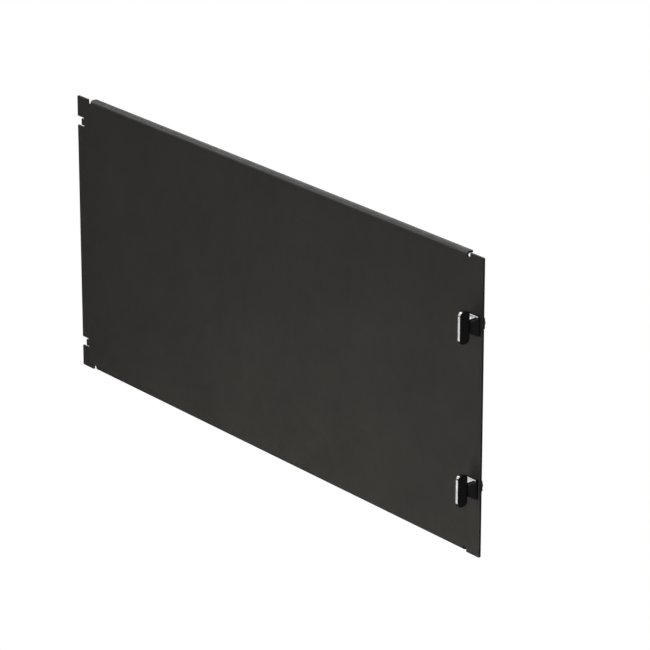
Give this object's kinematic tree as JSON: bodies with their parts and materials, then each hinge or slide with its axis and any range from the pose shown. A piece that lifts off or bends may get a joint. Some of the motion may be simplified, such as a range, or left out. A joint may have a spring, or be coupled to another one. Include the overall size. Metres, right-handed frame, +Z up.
{
  "type": "rack blanking panel",
  "caption": "Black folded-steel blanking panel for a 19-inch rack, hooked behind one rail and held at the other by thumb-turn latches.",
  "frame": {"origin": "middle of the plate's rear face, which seats towards the rack rails", "axes": "+X to the right as seen from the front, +Y back into the rack, +Z up"},
  "size_m": [0.4826, 0.0223, 0.2214],
  "materials": {
    "powder_coat": "fine-textured satin black powder coat",
    "latch_plastic": "glossy black moulded nylon",
    "zinc_steel": "zinc-plated steel",
    "black_steel": "black-coated steel"
  },
  "bodies": {
    "panel": {"panel": "powder_coat", "upper_latch_housing": "latch_plastic", "upper_spring_washer": "zinc_steel", "lower_latch_housing": "latch_plastic", "lower_spring_washer": "zinc_steel"},
    "upper_latch": {"upper_latch_handle": "latch_plastic", "upper_locking_cam": "black_steel", "upper_cam_screw": "black_steel"},
    "lower_latch": {"lower_latch_handle": "latch_plastic", "lower_locking_cam": "black_steel", "lower_cam_screw": "black_steel"}
  },
  "joints": [
    {"name": "upper_latch_turn", "type": "hinge", "parent": "panel", "child": "upper_latch", "pos_m": [0.23255, 0, 0.06032], "axis": [0, -1, 0], "range_deg": [0, 45]},
    {"name": "lower_latch_turn", "type": "hinge", "parent": "panel", "child": "lower_latch", "pos_m": [0.23255, 0, -0.06032], "axis": [0, -1, 0], "range_deg": [0, 45]}
  ]
}
